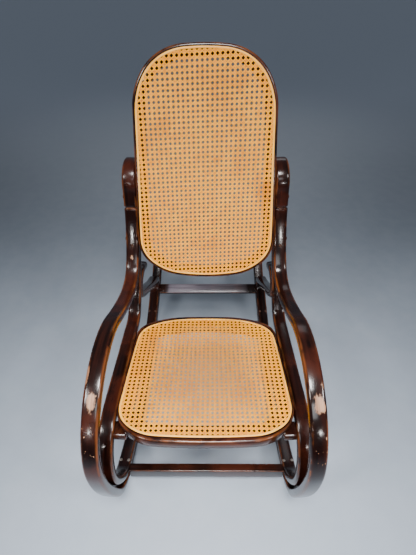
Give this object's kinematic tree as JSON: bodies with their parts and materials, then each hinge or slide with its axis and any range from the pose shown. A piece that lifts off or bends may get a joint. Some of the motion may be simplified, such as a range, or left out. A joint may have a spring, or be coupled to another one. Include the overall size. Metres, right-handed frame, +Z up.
{
  "type": "rocking chair",
  "caption": "Bentwood rocking chair with looped arm rests on curved rockers, a woven cane seat and a tall rounded woven cane back.",
  "frame": {"origin": "on the floor, under the middle of the chair's length and width", "axes": "+Z up, +Y to the rear, +X to the right seen from the front"},
  "size_m": [0.5684, 1.0482, 1.1428],
  "materials": {
    "dark_wood": "very dark brown stain under gloss lacquer, worn at edges",
    "cane": "natural honey woven rattan cane, satin",
    "reed": "natural pale reed, satin",
    "beech": "bare beech",
    "screw_steel": "dulled steel"
  },
  "bodies": {
    "root": {"left_runner_arm": "dark_wood", "right_runner_arm": "dark_wood", "left_ear_rail": "dark_wood", "right_ear_rail": "dark_wood", "left_rear_scroll": "dark_wood", "right_rear_scroll": "dark_wood", "seat_frame": "dark_wood", "seat_cane": "cane", "seat_spline": "reed", "back_frame": "dark_wood", "back_cane": "cane", "back_spline": "reed", "front_stretcher": "dark_wood", "rear_stretcher": "dark_wood", "left_seat_block": "dark_wood", "right_seat_block": "dark_wood", "ear_dowels": "beech", "stretcher_dowels": "beech", "seat_screws": "screw_steel", "back_screws": "screw_steel", "strip_screws": "screw_steel", "tail_screws": "screw_steel", "arm_screws": "screw_steel", "scroll_screws": "screw_steel", "block_screws": "screw_steel"}
  },
  "joints": []
}
